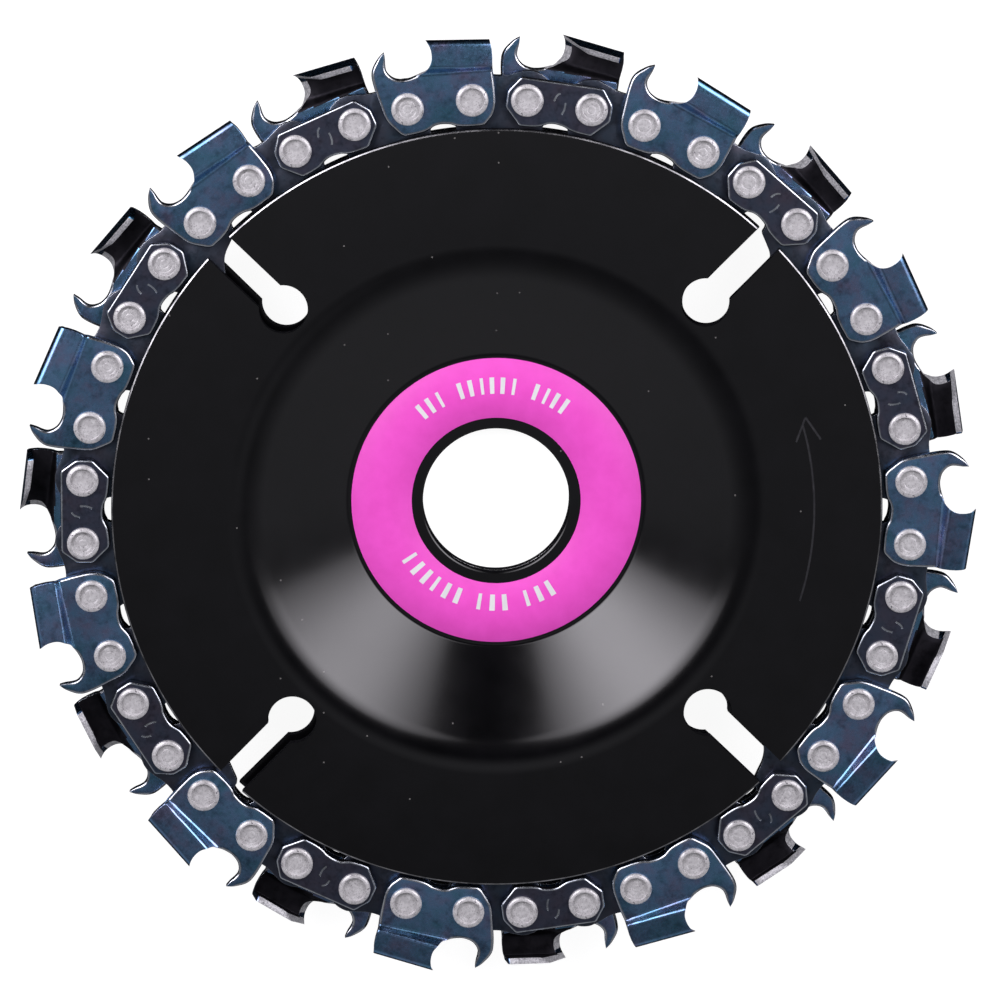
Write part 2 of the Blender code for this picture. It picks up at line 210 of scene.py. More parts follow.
def joined(*runs):
    """Runs of an outline end to end, with doubled points left out."""
    result = []
    for run in runs:
        for point in run:
            if not result or math.dist(point, result[-1]) > 0.005 * MM:
                result.append(point)
    if math.dist(result[0], result[-1]) < 0.005 * MM:
        result.pop()
    return result


def rounded(points, radius, steps=4):
    """A closed polygon with each corner turned into a small arc."""
    result = []
    count = len(points)
    for i, corner in enumerate(points):
        before, after = Vector(points[i - 1]), Vector(points[(i + 1) % count])
        corner = Vector(corner)
        a, b = before - corner, after - corner
        run = min(radius, a.length * 0.45, b.length * 0.45)
        start, end = corner + a.normalized() * run, corner + b.normalized() * run
        for k in range(steps + 1):
            t = k / steps
            point = start * (1 - t) ** 2 + corner * 2 * t * (1 - t) + end * t * t
            result.append(tuple(point))
    return joined(result)


def lower_edge(trailing, leading):
    """The heels and the scallop between them, from the trailing heel to the leading one."""
    scallop = smooth_run(
        in_mm(
            [
                (-2.7, -2.8),
                (-1.9, -2.68),
                (-1.3, -2.5),
                (-0.8, -2.27),
                (0.1, -2.13),
                (0.8, -2.2),
                (1.35, -2.45),
                (1.9, -2.67),
                (2.9, -2.82),
            ]
        )
    )
    return joined(in_mm([(trailing, -2.88)]), scallop, in_mm([(leading, -2.87)]))


def strap_outline():
    """The tie strap: the lower edge's scallop, and three straight runs at each end."""
    ends = in_mm([(5.65, -1.05), (5.65, 0.72), (4.45, 2.4)])
    far_ends = [(-along, out) for along, out in reversed(ends)]
    return rounded(lower_edge(-3.8, 3.85) + ends + far_ends, 0.3 * MM)


def cutter_outline():
    """The cutter's flat blank: out is measured along the sheet, over the fold to the top plate."""
    top_end = FOLD_END + TOP_PLATE_LENGTH
    sweep = TOP_PLATE_LENGTH * TOP_PLATE_SWEEP
    hook_back = smooth_run(
        in_mm(
            [
                (4.1, -2.87),
                (4.55, -2.6),
                (5.09, -1.97),
                (5.68, -1.2),
                (5.98, -0.5),
                (6.16, 0.3),
                (6.33, 1.15),
                (6.51, 2.05),
                (6.65, 2.87),
                (6.72, 3.58),
                (6.7, 4.12),
                (6.53, 4.64),
                (6.2, 5.17),
                (5.68, 5.76),
            ]
        )
        + [HOOK_TIP]
    )
    gullet = smooth_run(
        [HOOK_TIP]
        + in_mm(
            [
                (5.06, 5.47),
                (5.12, 4.76),
                (5.08, 4.23),
                (4.77, 3.73),
                (4.22, 3.33),
                (3.44, 3.15),
                (2.85, 3.18),
                (2.26, 3.31),
                (1.42, 3.58),
            ]
        )
    )
    ground_front = smooth_run(
        in_mm(
            [
                (1.42, 3.58),
                (1.1, 3.67),
                (0.84, 3.88),
                (0.48, 4.35),
                (0.25, 4.82),
                (0.15, 5.35),
                (0.15, 5.95),
            ]
        )
    )
    tooth_front = smooth_run(
        [
            (TOOTH_FRONT_ALONG, 5.95 * MM),
            (0.26 * MM, FOLD_OUT + 0.1 * MM),
            (0.45 * MM, FOLD_OUT + 0.55 * MM),
            (TOOTH_TIP_ALONG, FOLD_END),
        ]
    )
    top = [
        (TOOTH_TIP_ALONG - sweep, top_end),
        (TOOTH_REAR_ALONG + 0.6 * MM, top_end),
        (TOOTH_REAR_ALONG + 0.38 * MM, top_end - 0.25 * MM),
        (TOOTH_REAR_ALONG, FOLD_END),
        (TOOTH_REAR_ALONG - 0.1 * MM, 5.9 * MM),
        (TOOTH_REAR_ALONG - 0.06 * MM, 4.8 * MM),
    ]
    tail = smooth_run(
        in_mm(
            [
                (-6.1, 3.9),
                (-6.04, 2.9),
                (-6.04, 1.5),
                (-6.0, 0.5),
                (-5.92, -0.5),
                (-5.72, -1.25),
                (-5.4, -1.87),
                (-4.9, -2.4),
                (-4.45, -2.78),
                (-4.0, -2.88),
            ]
        )
    )
    return joined(
        lower_edge(-4.0, 4.1), hook_back, gullet, ground_front, tooth_front, top, tail
    )


def drive_outline():
    """Two ears round the rivets, a back that dips between them, and a tang that leans back."""
    half, ear = DRIVE_SPAN / 2, 3.0 * MM
    leading_ear = arc((half, 0.0), ear, 90.0, -25.0, 22)
    trailing_ear = arc((-half, 0.0), ear, 205.0, 90.0, 22)
    leading_side = smooth_run(
        in_mm(
            [
                (5.15, -2.1),
                (4.62, -2.95),
                (4.35, -3.5),
                (3.2, -3.9),
                (2.1, -4.3),
                (1.5, -4.9),
                (1.35, -5.7),
                (1.25, -6.4),
            ]
        )
    )
    trailing_side = smooth_run(
        in_mm(
            [
                (0.35, -6.45),
                (-0.5, -5.5),
                (-1.3, -4.7),
                (-2.2, -4.2),
                (-3.2, -3.9),
                (-4.35, -3.5),
                (-4.62, -2.95),
                (-5.15, -2.1),
            ]
        )
    )
    back = smooth_run(
        [(-half, ear)]
        + in_mm([(-1.9, 2.8), (-0.9, 2.53), (0.0, 2.45), (0.9, 2.53), (1.9, 2.8)])
        + [(half, ear)]
    )
    return joined(leading_ear, leading_side, trailing_side, trailing_ear, back)


# ---------------------------------------------------------------- mesh tools


def link_object(name, data):
    """A new object in the scene, with the given mesh, lamp or camera."""
    obj = bpy.data.objects.new(name, data)
    bpy.context.scene.collection.objects.link(obj)
    return obj


def new_mesh(name, bm):
    """A mesh from a bmesh, which is freed."""
    bmesh.ops.recalc_face_normals(bm, faces=bm.faces)
    mesh = bpy.data.meshes.new(name)
    bm.to_mesh(mesh)
    bm.free()
    return mesh


def flat_sheet(outline, thickness, edge_round, holes=()):
    """A bmesh plate from an outline of (x, y) points, from z = 0 up, with rounded rims."""
    bm = bmesh.new()
    edges = []
    for loop in (outline, *holes):
        verts = [bm.verts.new((x, y, 0.0)) for x, y in loop]
        for a, b in zip(verts, verts[1:] + verts[:1]):
            edges.append(bm.edges.new((a, b)))
    if holes:
        bmesh.ops.triangle_fill(bm, edges=edges, use_beauty=True, use_dissolve=False)
    else:
        bm.faces.new(list(bm.verts))
    bmesh.ops.recalc_face_normals(bm, faces=bm.faces)
    grown = bmesh.ops.extrude_face_region(bm, geom=bm.faces[:], use_keep_orig=True)
    raised = [g for g in grown["geom"] if isinstance(g, bmesh.types.BMVert)]
    bmesh.ops.translate(bm, verts=raised, vec=(0.0, 0.0, thickness))
    bmesh.ops.recalc_face_normals(bm, faces=bm.faces)
    if edge_round:
        rims = [
            e
            for e in bm.edges
            if len(e.link_faces) == 2
            and {abs(f.normal.z) > 0.9 for f in e.link_faces} == {True, False}
        ]
        bmesh.ops.bevel(
            bm,
            geom=rims,
            offset=edge_round,
            segments=2,
            profile=0.5,
            affect="EDGES",
            clamp_overlap=True,
            material=EDGE,
        )
    return bm


def pressed_sheet(outline, thickness, edge_radius):
    """A bmesh plate with rounded rims; edge_radius(along, out) is the rim's radius there.

    The round rims' faces get the EDGE slot, the flat faces and the side walls the STEEL slot.
    """
    bm = bmesh.new()
    count = len(outline)
    area = sum(a[0] * b[1] - b[0] * a[1] for a, b in zip(outline, outline[1:] + outline[:1]))
    turn = 1.0 if area > 0 else -1.0
    inwards, radii = [], []
    for i, point in enumerate(outline):
        here = Vector(point)
        ahead = (Vector(outline[(i + 1) % count]) - here).normalized()
        behind = (here - Vector(outline[i - 1])).normalized()
        normals = [Vector((-run.y, run.x)) * turn for run in (behind, ahead)]
        total = normals[0] + normals[1]
        inwards.append(total / max(1.0 + normals[0].dot(normals[1]), 0.8))
        radii.append(edge_radius(*point))
    angles = [math.radians(a) for a in (0.0, 15.0, 30.0, 45.0, 65.0, 90.0)]
    rings = []
    for is_top in (False, True):
        for angle in angles if not is_top else angles[::-1]:
            ring = []
            for point, inward, radius in zip(outline, inwards, radii):
                spot = Vector(point) + inward * radius * (1 - math.sin(angle))
                rise = radius * (1 - math.cos(angle))
                ring.append(bm.verts.new((*spot, thickness - rise if is_top else rise)))
            rings.append(ring)
    wall = len(angles) - 1
    for level, (low, high) in enumerate(zip(rings, rings[1:])):
        for i in range(count):
            k = (i + 1) % count
            face = bm.faces.new((low[i], low[k], high[k], high[i]))
            face.material_index = STEEL if abs(level - wall) < 2 else EDGE
            face.smooth = min(radii[i], radii[k]) > 0.12 * MM
    for ring in (rings[0][::-1], rings[-1]):
        bm.faces.new(ring).smooth = False
    bmesh.ops.recalc_face_normals(bm, faces=bm.faces)
    return bm


def cut_across(bm, normal, places):
    """Adds edge loops where planes with the given normal cross a bmesh, at these distances."""
    for place in places:
        bmesh.ops.bisect_plane(
            bm,
            geom=bm.verts[:] + bm.edges[:] + bm.faces[:],
            dist=0.001 * MM,
            plane_co=[n * place for n in normal],
            plane_no=normal,
        )


def finish_mesh(mesh, materials, angle_deg=32.0, keep_flat=False):
    """Adds the materials and smooths the mesh, except over edges sharper than the angle."""
    for material in materials:
        mesh.materials.append(material)
    if not keep_flat:
        mesh.shade_smooth()
    mesh.set_sharp_from_angle(angle=math.radians(angle_deg))
    return mesh


def filleted(points, radii, steps):
    """A profile whose inner corners are rounded by arcs of the given radii."""
    result = [points[0]]
    for before, corner, after, radius in zip(points, points[1:], points[2:], radii):
        a = Vector(before) - Vector(corner)
        b = Vector(after) - Vector(corner)
        half = a.angle(b) / 2
        run = radius / math.tan(half)
        start = Vector(corner) + a.normalized() * run
        end = Vector(corner) + b.normalized() * run
        centre = Vector(corner) + (a.normalized() + b.normalized()).normalized() * (
            radius / math.sin(half)
        )
        first = (start - centre).angle_signed(Vector((1.0, 0.0)))
        turn = (end - centre).angle_signed(start - centre)
        result += arc(
            centre, radius, math.degrees(first), math.degrees(first + turn), steps
        )
    result.append(points[-1])
    return result


def turned(name, profile, steps, closed=True):
    """A mesh turned about Z from a profile of (radius, z) points, running round anticlockwise."""
    bm = bmesh.new()
    rings = []
    for radius, z in profile:
        if radius < 0.001 * MM:
            rings.append([bm.verts.new((0.0, 0.0, z))] * steps)
            continue
        ring = []
        for i in range(steps):
            angle = math.tau * i / steps
            ring.append(
                bm.verts.new((radius * math.cos(angle), radius * math.sin(angle), z))
            )
        rings.append(ring)
    pairs = list(zip(rings, rings[1:]))
    if closed:
        pairs.append((rings[-1], rings[0]))
    for low, high in pairs:
        for i in range(steps):
            k = (i + 1) % steps
            corners = []
            for vert in (low[i], low[k], high[k], high[i]):
                if vert not in corners:
                    corners.append(vert)
            if len(corners) > 2:
                bm.faces.new(corners)
    return new_mesh(name, bm)


def cut_with(obj, cutter):
    """Cuts one object with another and applies the result; the cutter is removed."""
    modifier = obj.modifiers.new("Cut", "BOOLEAN")
    modifier.operation = "DIFFERENCE"
    modifier.solver = "EXACT"
    modifier.object = cutter
    bpy.context.view_layer.update()
    evaluated = obj.evaluated_get(bpy.context.evaluated_depsgraph_get())
    mesh = bpy.data.meshes.new_from_object(evaluated)
    obj.modifiers.clear()
    obj.data = mesh
    bpy.data.objects.remove(cutter, do_unlink=True)


# ---------------------------------------------------------------- materials


class Nodes:
    """A short way to write a node material."""

    def __init__(self, name):
        self.material = bpy.data.materials.new(name)
        self.material.use_nodes = True
        self.tree = self.material.node_tree
        self.shader = self.tree.nodes["Principled BSDF"]
        self.point = self.add("ShaderNodeTexCoord").outputs["Object"]

    def add(self, kind, **settings):
        node = self.tree.nodes.new(kind)
        for key, value in settings.items():
            setattr(node, key, value)
        return node

    def wire(self, source, target):
        self.tree.links.new(source, target)

    def noise(self, scale, detail=4.0, roughness=0.55, source=None):
        node = self.add("ShaderNodeTexNoise")
        node.inputs["Scale"].default_value = scale
        node.inputs["Detail"].default_value = detail
        node.inputs["Roughness"].default_value = roughness
        self.wire(source or self.point, node.inputs["Vector"])
        return node.outputs["Fac"]

    def ramp(self, source, stops):
        """A colour ramp; each stop is (position, value or colour)."""
        node = self.add("ShaderNodeValToRGB")
        elements = node.color_ramp.elements
        while len(elements) < len(stops):
            elements.new(0.5)
        for element, (position, value) in zip(elements, stops):
            element.position = position
            colour = value if isinstance(value, tuple) else (value, value, value)
            element.color = (*colour, 1.0)
        self.wire(source, node.inputs["Fac"])
        return node.outputs["Color"]

    def math(self, operation, a, b=None):
        node = self.add("ShaderNodeMath", operation=operation)
        for socket, value in zip(node.inputs, (a, b)):
            if value is None:
                continue
            if isinstance(value, (int, float)):
                socket.default_value = value
            else:
                self.wire(value, socket)
        return node.outputs["Value"]

    def mix(self, factor, a, b):
        """A blend of two colours; each argument is a value or another node's output."""
        node = self.add("ShaderNodeMix", data_type="RGBA")
        for socket, value in zip(
            (node.inputs["Factor"], node.inputs["A"], node.inputs["B"]), (factor, a, b)
        ):
            self.set_input(node, socket, value)
        return node.outputs["Result"]

    def set_input(self, node, socket, value):
        if isinstance(value, tuple):
            socket.default_value = (*value, 1.0)
        elif isinstance(value, (int, float)):
            socket.default_value = value
        else:
            self.wire(value, socket)

    def bump(self, height, strength, distance):
        node = self.add("ShaderNodeBump")
        node.inputs["Strength"].default_value = strength
        node.inputs["Distance"].default_value = distance
        self.wire(height, node.inputs["Height"])
        self.wire(node.outputs["Normal"], self.shader.inputs["Normal"])

    def set(self, **values):
        """Sets the shader's inputs, named with _ for a space."""
        for key, value in values.items():
            socket = self.shader.inputs[key.replace("_", " ")]
            self.set_input(self.shader, socket, value)


def black_plate_material():
    """Satin black coating on stamped steel, with faint lathe rings and a few specks of dust."""
    n = Nodes("black_plate")
    split = n.add("ShaderNodeSeparateXYZ")
    n.wire(n.point, split.inputs["Vector"])
    radius = n.math(
        "SQRT",
        n.math(
            "ADD",
            n.math("MULTIPLY", split.outputs["X"], split.outputs["X"]),
            n.math("MULTIPLY", split.outputs["Y"], split.outputs["Y"]),
        ),
    )
    ring_point = n.add("ShaderNodeCombineXYZ")
    n.wire(radius, ring_point.inputs["X"])
    n.wire(n.math("MULTIPLY", split.outputs["Z"], 0.5), ring_point.inputs["Y"])
    rings = n.noise(2600.0, 3.0, 0.6, ring_point.outputs["Vector"])
    mottle = n.noise(220.0, 5.0, 0.6)
    grain = n.noise(5200.0, 2.0, 0.5)
    cloud = n.ramp(mottle, [(0.3, (0.0012, 0.0012, 0.0016)), (0.75, (0.0026, 0.0025, 0.0034))])
    speck = n.add("ShaderNodeTexVoronoi", feature="F1", voronoi_dimensions="2D")
    speck.inputs["Scale"].default_value = 430.0
    n.wire(n.point, speck.inputs["Vector"])
    chance = n.add("ShaderNodeSeparateColor")
    n.wire(speck.outputs["Color"], chance.inputs["Color"])
    dust = n.math(
        "MULTIPLY",
        n.math("LESS_THAN", speck.outputs["Distance"], 0.04),
        n.math("GREATER_THAN", chance.outputs["Red"], 0.95),
    )
    n.set(
        Base_Color=n.mix(dust, cloud, (0.14, 0.135, 0.13)),
        Roughness=n.ramp(mottle, [(0.25, 0.15), (0.8, 0.19)]),
        Metallic=0.0,
        Specular_IOR_Level=0.55,
    )
    height = n.math("ADD", n.math("MULTIPLY", rings, 0.7), n.math("MULTIPLY", grain, 0.3))
    n.bump(height, 0.09, 0.02 * MM)
    return n.material


def cut_edge_material():
    """The plates' stamped edges: dull black, rougher than the coated faces."""
    n = Nodes("plate_edge")
    tear = n.noise(1800.0, 4.0, 0.6)
    n.set(
        Base_Color=n.ramp(tear, [(0.3, (0.003, 0.003, 0.004)), (0.7, (0.008, 0.008, 0.01))]),
        Roughness=n.ramp(tear, [(0.2, 0.6), (0.8, 0.75)]),
        Specular_IOR_Level=0.08,
    )
    n.bump(tear, 0.2, 0.02 * MM)
    return n.material


def engraved_material():
    """The arrow's line, scored through the coating to a duller grey."""
    n = Nodes("engraved_line")
    score = n.noise(1500.0, 3.0, 0.6)
    n.set(
        Base_Color=n.ramp(score, [(0.3, (0.018, 0.018, 0.021)), (0.7, (0.036, 0.036, 0.04))]),
        Roughness=n.ramp(score, [(0.2, 0.45), (0.8, 0.6)]),
        Specular_IOR_Level=0.3,
    )
    n.bump(score, 0.2, 0.02 * MM)
    return n.material


def steel_material(name, colours, roughness, grain_strength, scale=330.0):
    """Chain steel: patches of oxide colour, fine tumbled grain and faint scratches."""
    n = Nodes(name)
    own = n.add("ShaderNodeVectorMath", operation="ADD")
    n.wire(n.point, own.inputs[0])
    n.wire(n.add("ShaderNodeObjectInfo").outputs["Random"], own.inputs[1])
    spot = own.outputs["Vector"]
    patches = n.noise(scale, 3.0, 0.6, spot)
    fine = n.noise(3800.0, 3.0, 0.6, spot)
    stretched = n.add("ShaderNodeMapping")
    stretched.inputs["Scale"].default_value = (0.35, 2.6, 1.0)
    n.wire(spot, stretched.inputs["Vector"])
    scratches = n.noise(2400.0, 2.0, 0.5, stretched.outputs["Vector"])
    stops = [(0.3 + 0.4 * i / (len(colours) - 1), c) for i, c in enumerate(colours)]
    smudge = n.ramp(n.noise(900.0, 4.0, 0.65, spot), [(0.28, 0.55), (0.5, 1.0)])
    colour = n.add("ShaderNodeMix", data_type="RGBA", blend_type="MULTIPLY")
    colour.inputs["Factor"].default_value = 1.0
    n.wire(n.ramp(patches, stops), colour.inputs["A"])
    n.wire(smudge, colour.inputs["B"])
    n.set(
        Base_Color=colour.outputs["Result"],
        Roughness=n.ramp(fine, [(0.25, roughness - 0.05), (0.75, roughness + 0.08)]),
        Metallic=1.0,
    )
    height = n.math("ADD", n.math("MULTIPLY", fine, 0.6), n.math("MULTIPLY", scratches, 0.4))
    n.bump(height, grain_strength, 0.02 * MM)
    return n.material


def ground_material():
    """Bare ground steel of the cutting edges, with fine wheel marks across them."""
    n = Nodes("ground_steel")
    marks = n.noise(5000.0, 3.0, 0.7)
    n.set(
        Base_Color=n.ramp(marks, [(0.35, (0.22, 0.22, 0.235)), (0.65, (0.6, 0.6, 0.62))]),
        Roughness=n.ramp(marks, [(0.3, 0.35), (0.7, 0.5)]),
        Metallic=0.25,
    )
    n.bump(marks, 0.3, 0.02 * MM)
    return n.material


def label_material(name, colour, shade):
    """Printed foil: even ink with faint mottling under a soft gloss."""
    n = Nodes(name)
    ink = n.noise(600.0, 4.0, 0.6)
    fibre = n.noise(7000.0, 2.0, 0.5)
    n.set(
        Base_Color=n.ramp(ink, [(0.3, shade), (0.7, colour)]),
        Roughness=n.ramp(ink, [(0.2, 0.42), (0.8, 0.52)]),
        Specular_IOR_Level=0.35,
    )
    n.bump(fibre, 0.05, 0.01 * MM)
    return n.material


def rivet_material():
    """Bright steel rivet head with spun rings and a grey, slightly mottled face."""
    n = Nodes("rivet_steel")
    mottle = n.noise(1500.0, 4.0, 0.6)
    fine = n.noise(6000.0, 2.0, 0.5)
    n.set(
        Base_Color=n.mix(
            n.ramp(n.noise(4200.0, 2.0, 0.5), [(0.27, 0.0), (0.36, 1.0)]),
            (0.16, 0.15, 0.17),
            n.ramp(mottle, [(0.32, (0.48, 0.47, 0.48)), (0.68, (0.76, 0.75, 0.76))]),
        ),
        Roughness=n.ramp(fine, [(0.25, 0.24), (0.8, 0.36)]),
        Metallic=0.25,
    )
    n.bump(fine, 0.15, 0.01 * MM)
    return n.material


def floor_material():
    """White studio paper, lit from within so that no shadow shows on it."""
    n = Nodes("studio_floor")
    paper = n.noise(60.0, 3.0, 0.5)
    n.set(
        Base_Color=n.ramp(paper, [(0.3, 0.22), (0.7, 0.26)]),
        Roughness=0.9,
        Emission_Color=(1.0, 1.0, 1.0),
        Emission_Strength=0.93,
    )
    return n.material


# ---------------------------------------------------------------- plates


def keyhole_outline():
    """A round eye with a slot that runs out past the rim."""
    half_width = KEYHOLE_SLOT_WIDTH / 2
    neck = math.degrees(math.asin(half_width / KEYHOLE_EYE_RADIUS))
    eye = arc((KEYHOLE_EYE_CENTRE, 0.0), KEYHOLE_EYE_RADIUS, neck, 360.0 - neck, 40)
    beyond = RIM_RADIUS + 3 * MM
    return eye + [(beyond, -half_width), (beyond, half_width)]


def keyhole_cutter(first_deg):
    """All the keyholes as one cutter, deep enough to pass through a dished plate."""
    bm = flat_sheet(keyhole_outline(), 30 * MM, 0.0)
    bmesh.ops.translate(bm, verts=bm.verts, vec=(0.0, 0.0, -10 * MM))
    one = new_mesh("keyhole", bm)
    bm = bmesh.new()
    for i in range(KEYHOLE_COUNT):
        before = len(bm.verts)
        bm.from_mesh(one)
        bm.verts.ensure_lookup_table()
        turn = Matrix.Rotation(math.radians(first_deg + 360.0 * i / KEYHOLE_COUNT), 3, "Z")
        bmesh.ops.rotate(bm, verts=bm.verts[before:], cent=(0, 0, 0), matrix=turn)
    return link_object("keyholes", new_mesh("keyholes", bm))


def groove_cutter(line, top_z, width, depth):
    """A bar along a line of (x, y) points, sunk a little below the plate's top."""
    half = width / 2
    sides = ([], [])
    for i, point in enumerate(line):
        before, after = line[max(i - 1, 0)], line[min(i + 1, len(line) - 1)]
        run = (Vector(after) - Vector(before)).normalized()
        for side, sign in zip(sides, (1, -1)):
            side.append((point[0] - run.y * half * sign, point[1] + run.x * half * sign))
    bm = flat_sheet(sides[0] + sides[1][::-1], 2 * MM, 0.0)
    bmesh.ops.translate(bm, verts=bm.verts, vec=(0.0, 0.0, top_z - depth))
    return link_object("groove", new_mesh("groove", bm))


def engrave_arrow(obj, top_z):
    """The direction arrow on the flange: a curved stroke and the two barbs of its head."""
    stroke = arc((0.0, 0.0), ARROW_RADIUS, -16.6, 16.4, 24)
    cut_with(obj, groove_cutter(stroke, top_z, ARROW_WIDTH, ARROW_DEPTH))
    tip = polar(ARROW_RADIUS + 0.5 * MM, 17.6)
    for radius, deg in ARROW_BARBS:
        barb = [tip, polar(radius, deg)]
        cut_with(obj, groove_cutter(barb, top_z, ARROW_WIDTH, ARROW_DEPTH))


def eased(profile, towards_middle):
    """The profile with both of its ends worn into a shallow facet and then a steep one."""

    def corner(end, inward):
        radius, z = end
        return [
            (radius, z + towards_middle * WORN_FALL[0]),
            (radius + inward * WORN_RUN[0], z + towards_middle * WORN_FALL[1]),
            (radius + inward * WORN_RUN[1], z),
        ]

    return corner(profile[0], 1) + profile[1:-1] + corner(profile[-1], -1)[::-1]


def plate(name, node, low, high, cone, first_deg, materials, arrow=False):
    """A dished plate: flat hub, cone and flange, four keyholes, and worn rim and bore edges."""
    hub_z, flange_z = low[2], high[2] - PLATE_THICKNESS
    lower = filleted(
        [
            (BORE_RADIUS, hub_z),
            (cone[0], hub_z),
            (cone[1], flange_z),
            (RIM_RADIUS, flange_z),
        ],
        (INNER_FILLET + PLATE_THICKNESS, OUTER_FILLET),
        FILLET_STEPS,
    )
    slope = math.atan2(flange_z - hub_z, cone[1] - cone[0])
    shift = PLATE_THICKNESS * math.tan(slope / 2)
    upper = filleted(
        [
            (BORE_RADIUS, hub_z + PLATE_THICKNESS),
            (cone[0] - shift, hub_z + PLATE_THICKNESS),
            (cone[1] - shift, high[2]),
            (RIM_RADIUS, high[2]),
        ],
        (INNER_FILLET, OUTER_FILLET + PLATE_THICKNESS),
        FILLET_STEPS,
    )
    profile = eased(lower, 1) + eased(upper, -1)[::-1]
    obj = link_object(name, turned(name, profile, PLATE_STEPS))
    cut_with(obj, keyhole_cutter(first_deg))
    if arrow:
        engrave_arrow(obj, high[2])
    finish_mesh(obj.data, materials, 15.0)
    # Of the two bore edges, only the rear plate's is worn bright
    worn_bore = 0.0 if arrow else BORE_RADIUS + WORN_RUN[1]
    for face in obj.data.polygons:
        face.material_index = STAMPED_EDGE if abs(face.normal.z) < 0.3 else COATED
        sunk = high[2] - face.center.z
        radius = face.center.xy.length
        tilted = 0.3 < abs(face.normal.z) < 0.95
        if tilted and (radius > RIM_RADIUS - WORN_RUN[1] or radius < worn_bore):
            face.material_index = WORN
        elif 0.01 * MM < sunk < ARROW_DEPTH * 1.1 and radius > ARROW_INNER_LIMIT:
            face.material_index = ENGRAVED
    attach(obj, node)
    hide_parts(node)


def polar_block(bm, inner, outer, start_deg, end_deg, low, high, steps):
    """A thin block with curved sides, between two radii and two angles."""
    rings = []
    for i in range(steps + 1):
        a = math.radians(start_deg + (end_deg - start_deg) * i / steps)
        c, s = math.cos(a), math.sin(a)
        rings.append(
            [
                bm.verts.new((r * c, r * s, z))
                for r, z in ((inner, low), (outer, low), (outer, high), (inner, high))
            ]
        )
    for a, b in zip(rings, rings[1:]):
        for k in range(4):
            bm.faces.new((a[k], b[k], b[(k + 1) % 4], a[(k + 1) % 4]))
    bm.faces.new(rings[0])
    bm.faces.new(rings[-1][::-1])


def label(foil, ink):
    """The foil ring on the front plate's hub, and rows of bars where the photo has print."""
    inner, outer = LABEL_INNER_RADIUS, LABEL_HIGH[0]
    low, high = FRONT_LOW[2] + PLATE_THICKNESS + LABEL_GAP, LABEL_HIGH[2] - LABEL_GAP
    edge = 0.03 * MM
    profile = [
        (outer, low),
        (outer, high - edge),
        (outer - edge, high),
        (inner + edge, high),
        (inner, high - edge),
        (inner, low),
    ]
    obj = link_object("label_foil", turned("label_foil", profile, 192))
    finish_mesh(obj.data, [foil], 50.0)
    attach(obj, "front_plate")
    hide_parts("label_ring")

    bm = bmesh.new()
    ink_low, ink_high = high, high + LABEL_GAP
    for inner, first_deg, pitch_deg, groups in LABEL_MARKS:
        outer = inner + LABEL_MARK_HEIGHT
        at = first_deg
        for bars in groups:
            for i in range(bars):
                wide = pitch_deg * (0.42 if (i + bars) % 3 else 0.3)
                polar_block(bm, inner, outer, at, at + wide, ink_low, ink_high, 2)
                at += pitch_deg
            at += LABEL_MARK_GAP_DEG
    marks = link_object("label_marks", new_mesh("label_marks", bm))
    finish_mesh(marks.data, [ink])
    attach(marks, "front_plate")


# ---------------------------------------------------------------- chain


def smoothstep(t):
    """0 below 0, 1 above 1, and a smooth rise between them."""
    t = min(1.0, max(0.0, t))
    return t * t * (3 - 2 * t)


def crease_start(along):
    """Where on the blank the side plate starts to bend out to the tooth."""
    return CREASE_START[0] + CREASE_START[1] * along


def bent(along, out, w):
    """Where a point of the cutter's blank goes: w is its height in the sheet's thickness."""
    start = crease_start(along)
    if along >= HOOK_START_ALONG or out <= start:
        return (-along, out, SIDE_INNER_Z + w)
    behind = TOOTH_TIP_ALONG - along
    end = CREASE_END[0] + CREASE_END[1] * along
    front = smoothstep(1 - leading_edge_distance(along, out) / GRIND_RUN)
    height = smoothstep((out - start - 0.3 * MM) / GRIND_RUN)
    set_out = (TOOTH_SET - TOOTH_SIDE_TAPER * behind) * smoothstep((out - start) / (end - start))
    fall = TOP_PLATE_FALL * behind * smoothstep((out - start) / (FOLD_OUT - start))
    along -= GRIND_DEPTH * (1 - w / SIDE_THICKNESS) * front * height
    if out <= FOLD_OUT:
        return (-along, out - fall, SIDE_INNER_Z + set_out + w)
    turn = min(1.0, (out - FOLD_OUT) / FOLD_LENGTH) * math.radians(90)
    across = max(0.0, out - FOLD_END)
    inner_length = TOP_PLATE_LENGTH - SIDE_THICKNESS + TOP_THICKNESS - TOP_PLATE_END_BEVEL
    sides = []
    for radius, face_z, length in (
        (FOLD_RADIUS - TOP_THICKNESS, SIDE_INNER_Z + set_out, inner_length),
        (FOLD_RADIUS, SIDE_OUTER_Z + set_out, TOP_PLATE_LENGTH),
    ):
        run = across * length / TOP_PLATE_LENGTH
        y = FOLD_OUT - fall + radius * math.sin(turn) - across * TOP_PLATE_PITCH
        sides.append((y, face_z - radius + radius * math.cos(turn) - run))
    share = w / SIDE_THICKNESS
    (inner_y, inner_z), (outer_y, outer_z) = sides
    return (
        -along,
        inner_y + (outer_y - inner_y) * share,
        inner_z + (outer_z - inner_z) * share,
    )


def leading_edge_distance(along, out):
    """How far a point of the blank lies behind the tooth's leading edge."""
    if out >= FOLD_END:
        edge = TOOTH_TIP_ALONG - (out - FOLD_END) * TOP_PLATE_SWEEP
    elif out >= TOOTH_FRONT_OUT:
        rise = smoothstep((out - TOOTH_FRONT_OUT) / (FOLD_END - TOOTH_FRONT_OUT))
        edge = TOOTH_FRONT_ALONG + (TOOTH_TIP_ALONG - TOOTH_FRONT_ALONG) * rise
    else:
        edge = TOOTH_FRONT_ALONG + (TOOTH_FRONT_OUT - out) ** 2 / (2.3 * MM)
    return max(0.0, edge - along)


